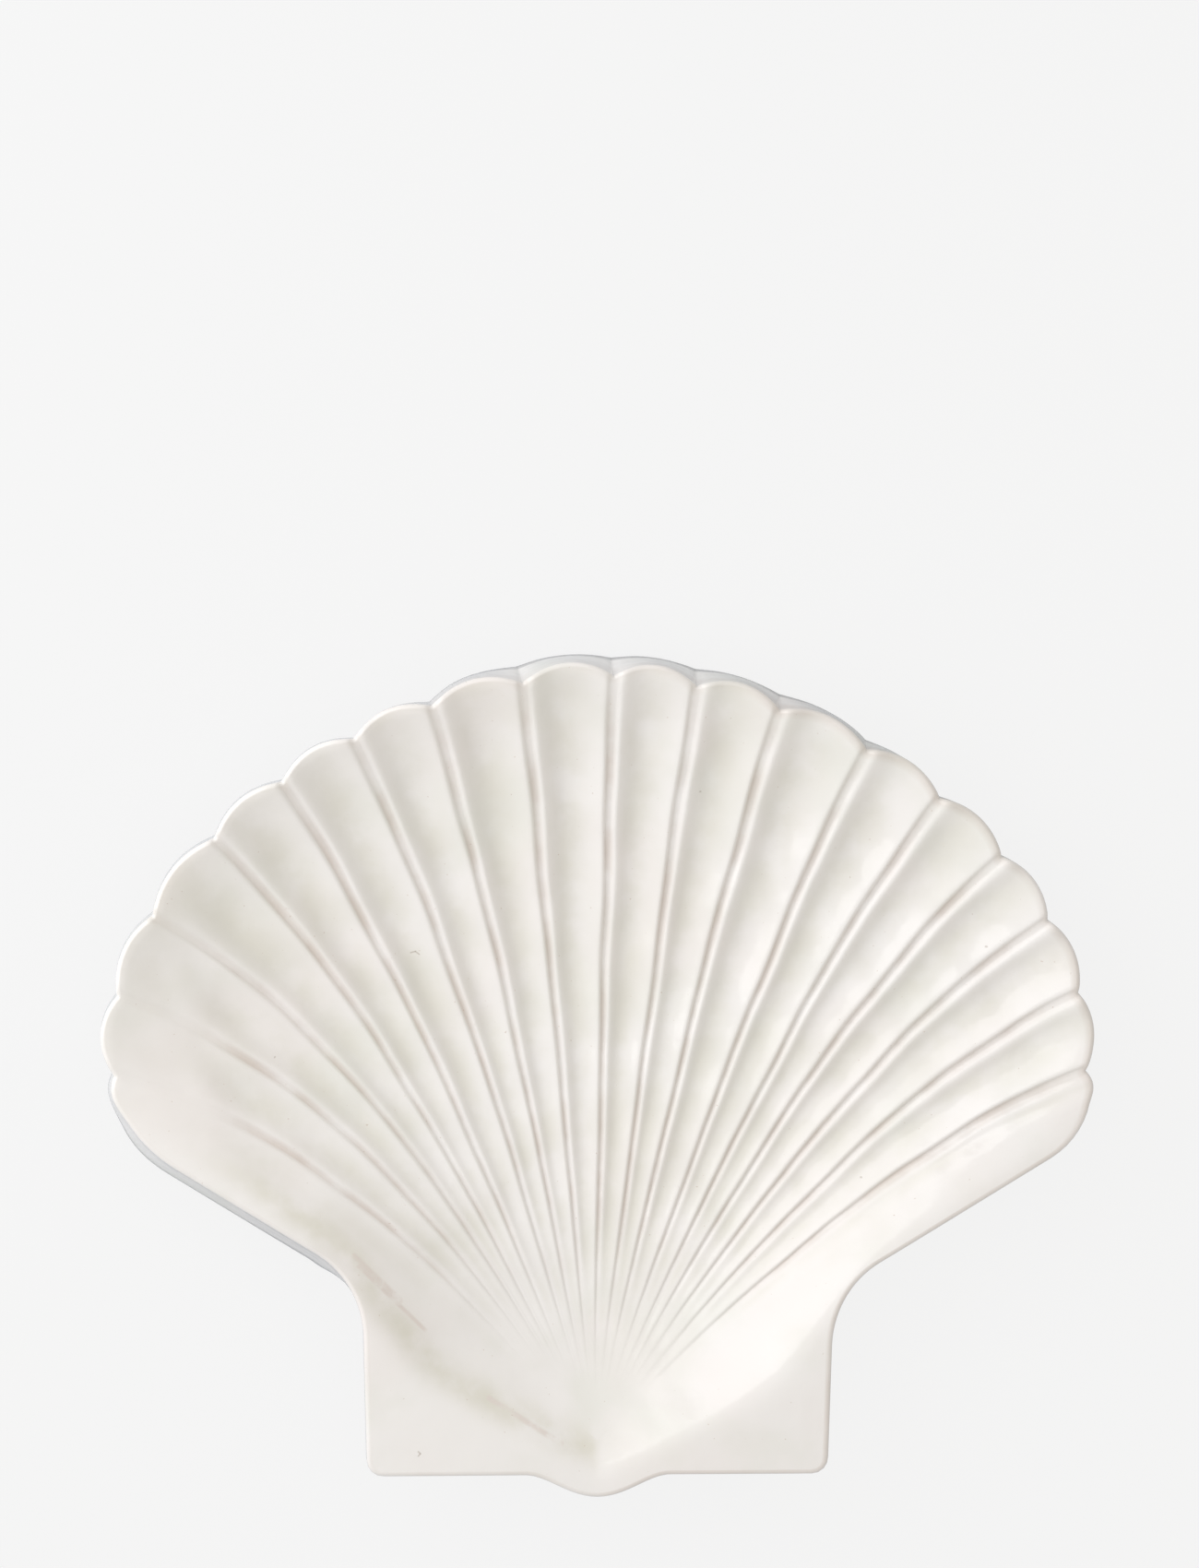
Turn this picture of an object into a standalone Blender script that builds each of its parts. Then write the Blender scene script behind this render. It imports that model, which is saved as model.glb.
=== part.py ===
"""Shell shaped platter, cast in one piece of glazed white earthenware.

Plan coordinates: X is across the dish, Y runs from the beak to the scalloped edge, Z is up.
Everything is laid out from the rib centre, the point near the beak that all ribs aim at,
and the finished body is moved so that the middle of its footprint is the origin.
A bearing is an angle in degrees from straight up the dish, clockwise as seen from above.
A rib number q counts the ribs from the middle one, so the flute between ribs 2 and 3 is q = 2 to 3.
"""

import bpy
import bmesh
import numpy as np

# Plan of the fan, metres from the rib centre
FAN_HALF_WIDTH = 0.1497
FAN_WIDEST_AT = 0.1315
FAN_RISE = 0.1147
FAN_ROUNDNESS = 1.81
SIDE_BEARING = 58.3
SIDE_FOOT_LEFT = 0.0150
SIDE_FOOT_RIGHT = 0.0116
WING_RADIUS_LEFT = 0.0460
WING_RADIUS_RIGHT = 0.0260

# Plan of the two ears and the beak
EAR_HALF_WIDTH = 0.0701
EAR_NECK_HALF_WIDTH = 0.0714
EAR_NECK_AT = 0.0480
EAR_NECK_FILLET = 0.0310
EAR_CORNER_RADIUS = 0.0050
BEAK_DROP = 0.0068
BEAK_HALF_WIDTH = 0.0220

# Ribs carved by hand: where each one aims near the beak, and where it meets the rim
RIB_ROOT_BEARINGS = (-37.7, -32.1, -27.8, -24.4, -20.3, -14.6, -9.9, -4.9, 1.0,
                     6.9, 11.9, 18.0, 22.9, 26.9, 31.7, 36.6, 41.7)
RIB_TIP_BEARINGS = (-50.6, -45.1, -38.5, -31.1, -24.6, -18.5, -12.4, -5.7, 0.9,
                    6.9, 13.1, 20.1, 26.6, 33.0, 39.0, 45.0, 50.6)
FAN_END_ROOT = 46.5
FAN_END_TIP = 53.3
LOBE_BULGE = 0.0043
LOBE_END_SHARE = 0.60
LOBE_END_FADE = 0.7

# Relief of the fan. A groove is narrow on its near side, to the left of the rib line
FLUTE_DEPTH_RATIO = 0.115
FLUTE_SKEW = 0.30
FLUTE_START = 0.15
GROOVE_DEPTH = 0.0024
GROOVE_NEAR_WIDTH = 0.0014
GROOVE_FAR_WIDTH = 0.0027
GROOVE_TAPER = 0.55
RIBS_START_AT = 0.022
RIBS_FULL_AT = 0.080
RELIEF_AT_RIM = 0.85
RIM_FADE_SHARE = 0.10

# Section of the dish
RIM_HEIGHT = 0.0340
FLOOR_HEIGHT = 0.0105
BOWL_SWEEP = 0.115
SCOOP_SHARE = 0.20
SCOOP_LENGTH = 0.012
SIDE_SLOPE_RUN = 0.060
SIDE_SLOPE_POWER = 3.0
SIDE_LIP = 0.0050
EDGE_ROUNDING = 0.0035
EAR_LINE_BEARING = 66.0
NECK_LINE_BEARING = 27.0
NECK_LINE_AT = (0.0710, 0.0550)
EDGE_BEND = 0.012
VALLEY_SHARPNESS = 3.0
LEAST_SHARE = 1e-4
WALL = 0.0055
LIP_RADIUS = 0.0024

# Outer wall under the lip: how tall it is, and how far it leans in for each unit of its height
WALL_DROP_TOP = 0.0175
WALL_DROP_WING = 0.0120
WALL_DROP_SIDE = 0.0190
WALL_DROP_EAR = 0.0066
WALL_LEAN_TOP = -0.05
WALL_LEAN_WING = 0.0
WALL_LEAN_SIDE = -0.16
WALL_LEAN_EAR = 0.0
WING_BEARING = 46.0
SIDE_DROP_RUN = 0.035
EAR_DROP_AT = 0.066
EAR_DROP_RUN = 0.014
WALL_LOBE_SHARE = 0.30

# Foot ring under the bowl
FOOT_HALF_WIDTH = 0.082
FOOT_HALF_LENGTH = 0.068
FOOT_CENTRE_AT = 0.122
FOOT_HEIGHT = 0.0030
FOOT_LAND = 0.0050
FOOT_DRAFT = 0.0008
UNDERSIDE_SAG_POWER = 1.4

# How finely the surfaces are cut
POLE_LIFT = 0.0100
POLE_FADE_POWER = 3
EAR_TURN_RUN = 0.054
FAN_CUTS = 120
WING_CUTS = 13
SIDE_CUTS = 8
NECK_CUTS = 9
EAR_CORNER_CUTS = 7
BEAK_CUTS = 12
PAST_END = 0.001
CREST_STEP = 0.08
CREST_REACH = 1.7
CREST_LIMITS = (0.06, 0.24)
FLUTE_STEPS = (0.36, 0.54, 0.74)
TOP_ROWS = (0.05, 0.13, 0.21, 0.29, 0.37, 0.46, 0.56, 0.66, 0.76, 0.85, 0.92, 0.965, 1.0)
LIP_ANGLES = (30.0, 60.0, 90.0)
WALL_ROWS = (0.5, 1.0)
UNDERSIDE_ROWS = (0.22, 0.46, 0.72, 1.0)
SMOOTH_BELOW_ANGLE = 50.0

GLAZE_COLOUR = (0.84, 0.815, 0.785, 1.0)
GLAZE_ROUGHNESS = 0.16


def smooth_step(t):
    """Goes from 0 to 1 as t does, level at both ends."""
    t = np.clip(t, 0.0, 1.0)
    return t * t * (3.0 - 2.0 * t)


def from_bearing(bearing):
    """Unit direction of a bearing."""
    angle = np.radians(bearing)
    return np.stack([np.sin(angle), np.cos(angle)], axis=-1)


def bearing_of(points):
    """Bearing of points as seen from the rib centre."""
    return np.degrees(np.arctan2(points[..., 0], points[..., 1]))


def rounded_corner(before, corner, after, radius, count):
    """Points of the arc of the given radius that rounds a corner between two straight runs."""
    incoming = (corner - before) / np.hypot(*(corner - before))
    outgoing = (after - corner) / np.hypot(*(after - corner))
    turn = np.arccos(np.clip(incoming @ outgoing, -1.0, 1.0))
    side = np.sign(incoming[0] * outgoing[1] - incoming[1] * outgoing[0])
    start = corner - radius * np.tan(turn / 2) * incoming
    centre = start + side * radius * np.array([-incoming[1], incoming[0]])
    angles = side * np.linspace(0.0, turn, count)
    arm = start - centre
    return centre + np.stack([arm[0] * np.cos(angles) - arm[1] * np.sin(angles),
                              arm[0] * np.sin(angles) + arm[1] * np.cos(angles)], axis=1)


def half_outline(side_foot, wing_radius):
    """Half of the plain outline, without lobes: the fan with its wing, and the ear with the beak."""
    x = FAN_HALF_WIDTH * np.sin(np.linspace(0.0, np.pi / 2, FAN_CUTS))
    y = FAN_WIDEST_AT + FAN_RISE * (1.0 - (x / FAN_HALF_WIDTH) ** FAN_ROUNDNESS) ** (1 / FAN_ROUNDNESS)
    fan = np.stack([x, y], axis=1)
    side = from_bearing(SIDE_BEARING)
    foot = np.array([0.0, side_foot])
    wing = foot + side * FAN_HALF_WIDTH / side[0]
    corner = np.array([EAR_HALF_WIDTH, 0.0])
    ear_side = np.array([EAR_NECK_HALF_WIDTH, EAR_NECK_AT]) - corner
    from_foot = corner - foot
    along = (from_foot[0] * ear_side[1] - from_foot[1] * ear_side[0]) \
        / (side[0] * ear_side[1] - side[1] * ear_side[0])
    neck = foot + side * along
    beak_x = np.linspace(BEAK_HALF_WIDTH, 0.0, BEAK_CUTS)
    beak = np.stack([beak_x, -BEAK_DROP * (1.0 - (beak_x / BEAK_HALF_WIDTH) ** 2) ** 2], axis=1)
    wing_arc = rounded_corner(fan[-1], wing, neck, wing_radius, WING_CUTS)
    neck_arc = rounded_corner(wing, neck, corner, EAR_NECK_FILLET, NECK_CUTS)
    ear_arc = rounded_corner(neck, corner, beak[0], EAR_CORNER_RADIUS, EAR_CORNER_CUTS)
    return np.concatenate([fan, wing_arc]), np.concatenate([neck_arc, ear_arc, beak])


FAN_END = (len(RIB_TIP_BEARINGS) + 1) // 2
RIB_NUMBERS = np.arange(-FAN_END, FAN_END + 1)
ROOTS = np.array([-FAN_END_ROOT, *RIB_ROOT_BEARINGS, FAN_END_ROOT])
TIPS = np.array([-FAN_END_TIP, *RIB_TIP_BEARINGS, FAN_END_TIP])


def ray_bearing(q, s):
    """Bearing of rib line q at share s of its length: it swings outward with the square of s."""
    root = np.interp(q, RIB_NUMBERS, ROOTS)
    tip = np.interp(q, RIB_NUMBERS, TIPS)
    return root + (tip - root) * s ** 2


def flute_width(q, s, radius):
    """Distance between the two ribs beside q, measured round the rib centre."""
    left = np.clip(np.floor(q), -FAN_END, FAN_END - 1)
    return radius * s * np.radians(ray_bearing(left + 1, s) - ray_bearing(left, s))


def half_stations(side_foot, wing_radius, numbers):
    """Places on one half of the plain outline: where the given rib numbers end, and on from there
    to the beak. With the latter comes how straight their spokes run: 0 on the side, 1 past the ear."""
    upper, lower = half_outline(side_foot, wing_radius)
    half = np.concatenate([upper, lower])
    length = np.concatenate([[0.0], np.cumsum(np.hypot(*np.diff(half, axis=0).T))])
    neck = length[len(upper)]
    bearings = bearing_of(upper)
    turn = np.argmax(bearings > FAN_END_TIP) + 1
    tips = np.abs(np.interp(numbers, RIB_NUMBERS, TIPS))
    reach = np.interp(tips, bearings[:turn], np.hypot(*upper[:turn].T))
    fan = reach[:, None] * from_bearing(tips)
    start = np.interp(FAN_END_TIP, bearings[:turn], length[:turn])
    keep = np.concatenate([np.linspace(start, neck, SIDE_CUTS + 1)[1:-1], length[len(upper):]])
    rest = np.stack([np.interp(keep, length, half[:, 0]), np.interp(keep, length, half[:, 1])], axis=1)
    return fan, rest, smooth_step((keep - neck) / EAR_TURN_RUN)


def rim_stations():
    """Rib number, straightness and plain place of every spoke's end, clockwise round the outline."""
    steps = np.array([0.0, CREST_STEP, *FLUTE_STEPS, 1.0 - CREST_STEP])
    numbers = np.append((np.arange(-FAN_END, FAN_END)[:, None] + steps).ravel(), FAN_END)
    tips = np.interp(numbers, RIB_NUMBERS, TIPS)
    left_fan, left, left_share = half_stations(SIDE_FOOT_LEFT, WING_RADIUS_LEFT, numbers[tips < 0])
    right_fan, right, right_share = half_stations(SIDE_FOOT_RIGHT, WING_RADIUS_RIGHT, numbers[tips >= 0])
    flip = np.array([-1.0, 1.0])
    places = np.concatenate([left_fan * flip, right_fan, right, left[::-1][1:] * flip])
    past_end = FAN_END + PAST_END
    number = np.concatenate([numbers, np.full(len(right), past_end), np.full(len(left) - 1, -past_end)])
    straight = np.concatenate([np.zeros(len(numbers)), right_share, left_share[::-1][1:]])
    return number, straight, places


def lobes(q):
    """Height of the scallop between two ribs: 0 at a rib and 1 half way."""
    part = q - np.floor(q)
    return np.where(np.abs(q) < FAN_END, 1.0 - (2.0 * part - 1.0) ** 2, 0.0)


def fan_fade(q):
    """1 in the fan, falling to 0 over the last flute on each side."""
    return 1.0 - smooth_step(np.abs(q) - FAN_END + 1.0)


def lobe_size(q):
    """The scallops grow flatter from the middle of the fan to its ends."""
    share = np.clip(np.abs(q) / FAN_END, 0.0, 1.0)
    return LOBE_BULGE * (1.0 - (1.0 - LOBE_END_SHARE) * share) * fan_fade(q) ** LOBE_END_FADE


def groove_spread(s):
    """Size of a rib's groove at share s of its length, as a share of its size at the rim."""
    return GROOVE_TAPER + (1.0 - GROOVE_TAPER) * s


def relief(q, s, radius):
    """Flutes and ribs on the fan, as a height added to the bowl.

    A flute is a parabola across, as deep as a share of its width, skewed to its left, where it is
    held back to leave a round ridge. A rib line is a groove, bell shaped and wider on its right.
    """
    width = flute_width(q, s, radius)
    part = q - np.floor(q)
    skew = 1.0 + FLUTE_SKEW * (1.0 - 2.0 * part)
    flute = FLUTE_DEPTH_RATIO * width * lobes(q) * skew * (1.0 - np.exp(-(part / FLUTE_START) ** 2))
    near = (1.0 - part) * width / (GROOVE_NEAR_WIDTH * groove_spread(s))
    far = part * width / (GROOVE_FAR_WIDTH * groove_spread(s))
    groove = GROOVE_DEPTH * groove_spread(s) * np.maximum(np.exp(-near ** 2), np.exp(-far ** 2))
    fade_in = smooth_step((s * radius - RIBS_START_AT) / (RIBS_FULL_AT - RIBS_START_AT))
    fade_out = 1.0 - (1.0 - RELIEF_AT_RIM) * smooth_step((s - 1.0 + RIM_FADE_SHARE) / RIM_FADE_SHARE)
    return -(flute + groove) * fan_fade(q) * fade_in * fade_out


def crest_numbers(number, s, radius):
    """Moves the stations beside each rib to the crests of its groove, where they are seen best."""
    rib = np.round(number)
    offset = number - rib
    spread = groove_spread(s) * CREST_REACH / np.maximum(flute_width(number, s, radius), 1e-6)
    far = np.clip(GROOVE_FAR_WIDTH * spread, *CREST_LIMITS)
    near = np.clip(GROOVE_NEAR_WIDTH * spread, *CREST_LIMITS)
    beside = np.isclose(np.abs(offset), CREST_STEP)
    return np.where(beside, rib + np.where(offset > 0.0, far, -near), number)


def distance_to_line(x, y, foot, bearing):
    """Distance of points above a line that leaves a foot at a bearing."""
    slope = np.radians(bearing)
    return (y - foot[1]) * np.sin(slope) - (x - foot[0]) * np.cos(slope)


def smooth_extreme(a, b, sign):
    """The larger of two distances where sign is 1, the smaller where it is -1, with a round bend."""
    return (a + b + sign * np.sqrt((a - b) ** 2 + EDGE_BEND ** 2)) / 2


def edge_distance(x, y, side_foot):
    """Distance inside the bowl's edge on the side where x is positive.

    The edge follows the straight side less its lip, turns down at the neck, and follows the
    ear line to the beak.
    """
    side = distance_to_line(x, y, (0.0, side_foot), SIDE_BEARING) - SIDE_LIP
    neck = distance_to_line(x, y, NECK_LINE_AT, NECK_LINE_BEARING)
    ear = distance_to_line(x, y, (0.0, 0.0), EAR_LINE_BEARING)
    return smooth_extreme(ear, smooth_extreme(side, neck, 1.0), -1.0)


def bowl_level(plan, grow=0.0):
    """Height of the plain bowl at points of the plan, with its walls moved out by grow.

    The depth is the product of two shares. One comes from the scalloped rim, a long sweep with a
    short scoop. The other comes from the slopes along both sides of the fan, which meet in the
    V at the beak, sharp at its tip and rounder away from it.
    """
    across = plan[..., 0]
    y = plan[..., 1]
    up = np.maximum(y - FAN_WIDEST_AT, 0.0)
    reach = (np.abs(across / FAN_HALF_WIDTH) ** FAN_ROUNDNESS
             + (up / FAN_RISE) ** FAN_ROUNDNESS) ** (1 / FAN_ROUNDNESS)
    inside = np.maximum((1.0 - reach) * FAN_RISE + grow, 0.0)
    sweep = np.clip(1.0 - inside / BOWL_SWEEP, 0.0, 1.0) ** 2
    rise = (1.0 - SCOOP_SHARE) * sweep + SCOOP_SHARE * np.exp(-inside / SCOOP_LENGTH)
    distance = np.stack([edge_distance(-across, y, SIDE_FOOT_LEFT),
                         edge_distance(across, y, SIDE_FOOT_RIGHT)]) + grow
    distance = (distance + np.sqrt(distance ** 2 + EDGE_ROUNDING ** 2)) / 2
    share = 1.0 - (1.0 - np.clip(distance / SIDE_SLOPE_RUN, LEAST_SHARE, 1.0)) ** SIDE_SLOPE_POWER
    valley = ((share ** -VALLEY_SHARPNESS).sum(axis=0) - 1.0) ** (-1.0 / VALLEY_SHARPNESS)
    return RIM_HEIGHT - (RIM_HEIGHT - FLOOR_HEIGHT) * (1.0 - rise) * valley


def outward(loop):
    """Unit normals of a closed clockwise loop, pointing away from its inside."""
    step = np.roll(loop, -1, axis=0) - loop
    length = np.hypot(*step.T)[:, None]
    along = step / length * np.roll(length, 1, axis=0) + np.roll(step / length, 1, axis=0) * length
    along = along / np.hypot(*along.T)[:, None]
    return np.stack([-along[:, 1], along[:, 0]], axis=1)


def wall_blend(places, top, wing, side, ear):
    """One value round the outer wall: by bearing from the top of the fan to its wings, then by the
    place up the dish to the sides and to the ears."""
    value = top + (wing - top) * smooth_step(np.abs(bearing_of(places)) / WING_BEARING)
    value = value + (side - value) * smooth_step((FAN_WIDEST_AT - places[:, 1]) / SIDE_DROP_RUN)
    return value + (ear - value) * smooth_step((EAR_DROP_AT - places[:, 1]) / EAR_DROP_RUN)


def row(plan, height):
    """One row of points from its plan and its heights."""
    return np.concatenate([plan, np.broadcast_to(height, (len(plan),))[:, None]], axis=1)


def top_rows(number, straight, inner, pole):
    """Rows over the bowl, from near the pole to the lip.

    The spokes of the fan follow the ribs, those of the sides swing out after them, and round the
    ears the spokes turn into straight ones from the pole.
    """
    fan = np.abs(number) <= FAN_END
    reach = np.hypot(*inner.T)
    rows = []
    for s in TOP_ROWS:
        moved = np.where(fan, crest_numbers(number, s, reach), number)
        swing = bearing_of(inner) - ray_bearing(moved, 1.0)
        curved = (s * reach)[:, None] * from_bearing(ray_bearing(moved, s) + swing * s ** 2)
        curved = curved + pole * (1.0 - s) ** POLE_FADE_POWER
        direct = pole + (inner - pole) * s
        plan = curved + (direct - curved) * straight[:, None]
        rows.append(row(plan, bowl_level(plan) + np.where(fan, relief(moved, s, reach), 0.0)))
    return rows


def build_rows():
    """Rows of points that wrap the dish from the pole near the beak over the lip to the foot."""
    number, straight, plain = rim_stations()
    plain_out = outward(plain)
    size = np.where(np.abs(number) <= FAN_END, lobe_size(number), 0.0)
    outline = plain + plain_out * (size * (lobes(number) - 2 / 3))[:, None]
    soft = plain + plain_out * (size * (1 / 3 + WALL_LOBE_SHARE * (lobes(number) - 1.0)))[:, None]
    normals = outward(outline)
    inner = outline - LIP_RADIUS * normals
    pole = np.array([0.0, POLE_LIFT])
    rows = top_rows(number, straight, inner, pole)

    edge = rows[-1][:, 2]
    for angle in np.radians(LIP_ANGLES):
        plan = inner + LIP_RADIUS * np.sin(angle) * normals
        rows.append(row(plan, edge - LIP_RADIUS * (1.0 - np.cos(angle))))

    drop = wall_blend(plain, WALL_DROP_TOP, WALL_DROP_WING, WALL_DROP_SIDE, WALL_DROP_EAR)
    lean = wall_blend(plain, WALL_LEAN_TOP, WALL_LEAN_WING, WALL_LEAN_SIDE, WALL_LEAN_EAR)
    for share in WALL_ROWS:
        lower = outline + (soft - outline) * share - plain_out * (lean * drop * share)[:, None]
        rows.append(row(lower, edge - LIP_RADIUS - (drop - LIP_RADIUS) * share))

    wall_foot = rows[-1]
    turn = np.arctan2(wall_foot[:, 0], wall_foot[:, 1] - FOOT_CENTRE_AT)
    foot = np.stack([FOOT_HALF_WIDTH * np.sin(turn),
                     FOOT_CENTRE_AT + FOOT_HALF_LENGTH * np.cos(turn)], axis=1)
    for share in UNDERSIDE_ROWS:
        plan = wall_foot[:, :2] + (foot - wall_foot[:, :2]) * share
        sag = wall_foot[:, 2] + (FOOT_HEIGHT - wall_foot[:, 2]) * share ** UNDERSIDE_SAG_POWER
        skin = bowl_level(plan, 0.5 * WALL) - WALL
        rows.append(row(plan, np.minimum(sag, skin)))
    foot_out = outward(foot)
    land_outside = foot - FOOT_DRAFT * foot_out
    land_inside = land_outside - FOOT_LAND * foot_out
    rows.append(row(land_outside, 0.0))
    rows.append(row(land_inside, 0.0))
    rows.append(row(land_inside - FOOT_DRAFT * foot_out, FOOT_HEIGHT))
    return rows, pole


def make_dish(collection, material):
    """The one cast body: rows of points joined into a closed skin, capped at the pole and the base."""
    rows, pole = build_rows()
    points = np.concatenate(rows)
    middle = (points[:, :2].min(axis=0) + points[:, :2].max(axis=0)) / 2
    count = len(rows[0])
    body = bmesh.new()
    rings = []
    for one in rows:
        rings.append([body.verts.new((x - middle[0], y - middle[1], z)) for x, y, z in one])
    pole_height = float(bowl_level(pole[None, :])[0])
    tip = body.verts.new((pole[0] - middle[0], pole[1] - middle[1], pole_height))
    for i in range(count):
        j = (i + 1) % count
        body.faces.new((tip, rings[0][j], rings[0][i]))
        for upper, lower in zip(rings[:-1], rings[1:]):
            body.faces.new((upper[i], upper[j], lower[j], lower[i]))
    body.faces.new(rings[-1])
    bmesh.ops.recalc_face_normals(body, faces=body.faces)
    mesh = bpy.data.meshes.new("shell_platter")
    body.to_mesh(mesh)
    body.free()
    mesh.shade_smooth()
    mesh.set_sharp_from_angle(angle=np.radians(SMOOTH_BELOW_ANGLE))
    mesh.materials.append(material)
    dish = bpy.data.objects.new("shell_platter", mesh)
    collection.objects.link(dish)
    return dish


def white_glaze():
    """Warm white gloss glaze."""
    material = bpy.data.materials.new("white_glaze")
    material.use_nodes = True
    shader = material.node_tree.nodes["Principled BSDF"]
    shader.inputs["Base Color"].default_value = GLAZE_COLOUR
    shader.inputs["Roughness"].default_value = GLAZE_ROUGHNESS
    shader.inputs["Metallic"].default_value = 0.0
    return material


def main():
    for old in list(bpy.data.objects):
        bpy.data.objects.remove(old, do_unlink=True)
    collection = bpy.data.collections.new("shell_shaped_platter")
    bpy.context.scene.collection.children.link(collection)
    make_dish(collection, white_glaze())


main()
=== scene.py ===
import bpy
import numpy as np
from mathutils import Matrix, Vector


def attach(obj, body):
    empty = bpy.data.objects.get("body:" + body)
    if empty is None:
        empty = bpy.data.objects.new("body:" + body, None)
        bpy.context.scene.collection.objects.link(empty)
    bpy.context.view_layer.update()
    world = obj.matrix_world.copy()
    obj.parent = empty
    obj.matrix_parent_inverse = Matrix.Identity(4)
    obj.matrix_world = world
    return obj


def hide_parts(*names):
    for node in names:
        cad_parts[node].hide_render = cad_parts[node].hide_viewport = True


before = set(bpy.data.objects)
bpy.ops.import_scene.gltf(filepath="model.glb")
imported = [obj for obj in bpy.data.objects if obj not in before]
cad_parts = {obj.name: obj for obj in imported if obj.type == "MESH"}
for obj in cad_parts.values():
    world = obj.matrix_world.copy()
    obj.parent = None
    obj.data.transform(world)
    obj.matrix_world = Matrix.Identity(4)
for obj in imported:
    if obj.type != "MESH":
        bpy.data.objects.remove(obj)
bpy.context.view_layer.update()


# The platter, plan of its outline. The dish is one casting in white earthenware, and a modeller
# carved the ribs of its mould by hand. Everything is laid out in metres from the rib centre, the
# point near the beak that every rib aims at, with bearings in degrees clockwise from straight up.
FAN_HALF_WIDTH = 0.1497
FAN_WIDEST_AT = 0.1315
FAN_RISE = 0.1147
FAN_ROUNDNESS = 1.81
FAN_POINTS = 600
SIDE_BEARING = 58.3
SIDE_FOOT_LEFT = 0.0150
SIDE_FOOT_RIGHT = 0.0116
WING_RADIUS_LEFT = 0.046
WING_RADIUS_RIGHT = 0.026
WING_POINTS = 60
EAR_HALF_WIDTH = 0.0701
EAR_NECK_HALF_WIDTH = 0.0714
EAR_NECK_AT = 0.0480
EAR_NECK_FILLET = 0.031
EAR_NECK_POINTS = 40
EAR_CORNER_RADIUS = 0.0050
EAR_CORNER_POINTS = 30
BEAK_DROP = 0.0068
BEAK_HALF_WIDTH = 0.0220
BEAK_POINTS = 60


def smooth_step(t):
    """Rises from 0 to 1 as t does, level at both ends: three times the square less twice the cube."""
    t = np.clip(t, 0.0, 1.0)
    return t * t * (3.0 - 2.0 * t)


def rounded_corner(before, corner, after, radius, count):
    """The arc of a radius that touches both straight runs of a corner: its first touching point,
    turned round its centre to count places over the angle between the runs."""
    incoming = (corner - before) / np.hypot(*(corner - before))
    outgoing = (after - corner) / np.hypot(*(after - corner))
    turn = np.arccos(np.clip(incoming @ outgoing, -1.0, 1.0))
    side = np.sign(incoming[0] * outgoing[1] - incoming[1] * outgoing[0])
    start = corner - radius * np.tan(turn / 2) * incoming
    centre = start + side * radius * np.array([-incoming[1], incoming[0]])
    angles = side * np.linspace(0.0, turn, count)
    arm = start - centre
    return centre + np.stack([arm[0] * np.cos(angles) - arm[1] * np.sin(angles),
                              arm[0] * np.sin(angles) + arm[1] * np.cos(angles)], axis=1)


def half_outline(side_foot, wing_radius):
    """Half the outline without its lobes, from the top of the fan to the tip of the beak.

    The fan is a superellipse, its lower side runs straight, and the ear's neck and corner are
    rounded. The beak is a bell: its drop times the square of one less the square of the share across.
    """
    x = FAN_HALF_WIDTH * np.sin(np.linspace(0.0, np.pi / 2, FAN_POINTS))
    y = FAN_WIDEST_AT + FAN_RISE * (1.0 - (x / FAN_HALF_WIDTH) ** FAN_ROUNDNESS) ** (1 / FAN_ROUNDNESS)
    slope = np.radians(SIDE_BEARING)
    side = np.array([np.sin(slope), np.cos(slope)])
    foot = np.array([0.0, side_foot])
    wing = foot + side * FAN_HALF_WIDTH / side[0]
    corner = np.array([EAR_HALF_WIDTH, 0.0])
    ear = np.array([EAR_NECK_HALF_WIDTH, EAR_NECK_AT]) - corner
    from_foot = corner - foot
    ear_off_foot = from_foot[0] * ear[1] - from_foot[1] * ear[0]
    ear_off_side = side[0] * ear[1] - side[1] * ear[0]
    neck = foot + side * ear_off_foot / ear_off_side
    beak_x = np.linspace(BEAK_HALF_WIDTH, 0.0, BEAK_POINTS)
    beak = np.stack([beak_x, -BEAK_DROP * (1.0 - (beak_x / BEAK_HALF_WIDTH) ** 2) ** 2], axis=1)
    fan = np.stack([x, y], axis=1)
    wing_arc = rounded_corner(fan[-1], wing, neck, wing_radius, WING_POINTS)
    neck_arc = rounded_corner(wing, neck, corner, EAR_NECK_FILLET, EAR_NECK_POINTS)
    ear_arc = rounded_corner(neck, corner, beak[0], EAR_CORNER_RADIUS, EAR_CORNER_POINTS)
    return np.concatenate([fan, wing_arc, neck_arc, ear_arc, beak]), len(fan) + len(wing_arc)


# Its ribs and flutes. Each rib line is a groove between two raised edges, cut from near the
# beak to a notch in the rim, and it swings outward as it goes. The flutes between them are
# shallow troughs that end in the lobes of the rim.
RIB_ROOTS = (-37.7, -32.1, -27.8, -24.4, -20.3, -14.6, -9.9, -4.9, 1.0,
             6.9, 11.9, 18.0, 22.9, 26.9, 31.7, 36.6, 41.7)
RIB_TIPS = (-50.6, -45.1, -38.5, -31.1, -24.6, -18.5, -12.4, -5.7, 0.9,
            6.9, 13.1, 20.1, 26.6, 33.0, 39.0, 45.0, 50.6)
FAN_END_ROOT = 46.5
FAN_END_TIP = 53.3
RIB_WOBBLE = 0.12
RIB_WOBBLE_WAVES = ((1.0, 19.0, 2.4), (0.6, 37.0, -1.7))
RIB_WOBBLE_END_POWER = 6
LOBE_BULGE = 0.0043
LOBE_END_SHARE = 0.60
LOBE_END_FADE = 0.7
LOBE_MEAN = 2 / 3
FLUTE_DEPTH_RATIO = 0.175
FLUTE_SHARES = (1.12, 1.0, 0.88)
FLUTE_SKEW = 0.46
FLUTE_START = 0.19
GROOVE_DEPTH = 0.0020
GROOVE_NEAR_WIDTH = 0.0010
GROOVE_FAR_WIDTH = 0.0016
GROOVE_TAPER = 0.55
RIBS_START = (0.032, 0.013, 0.022)
RIBS_START_RUN = 0.070
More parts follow.
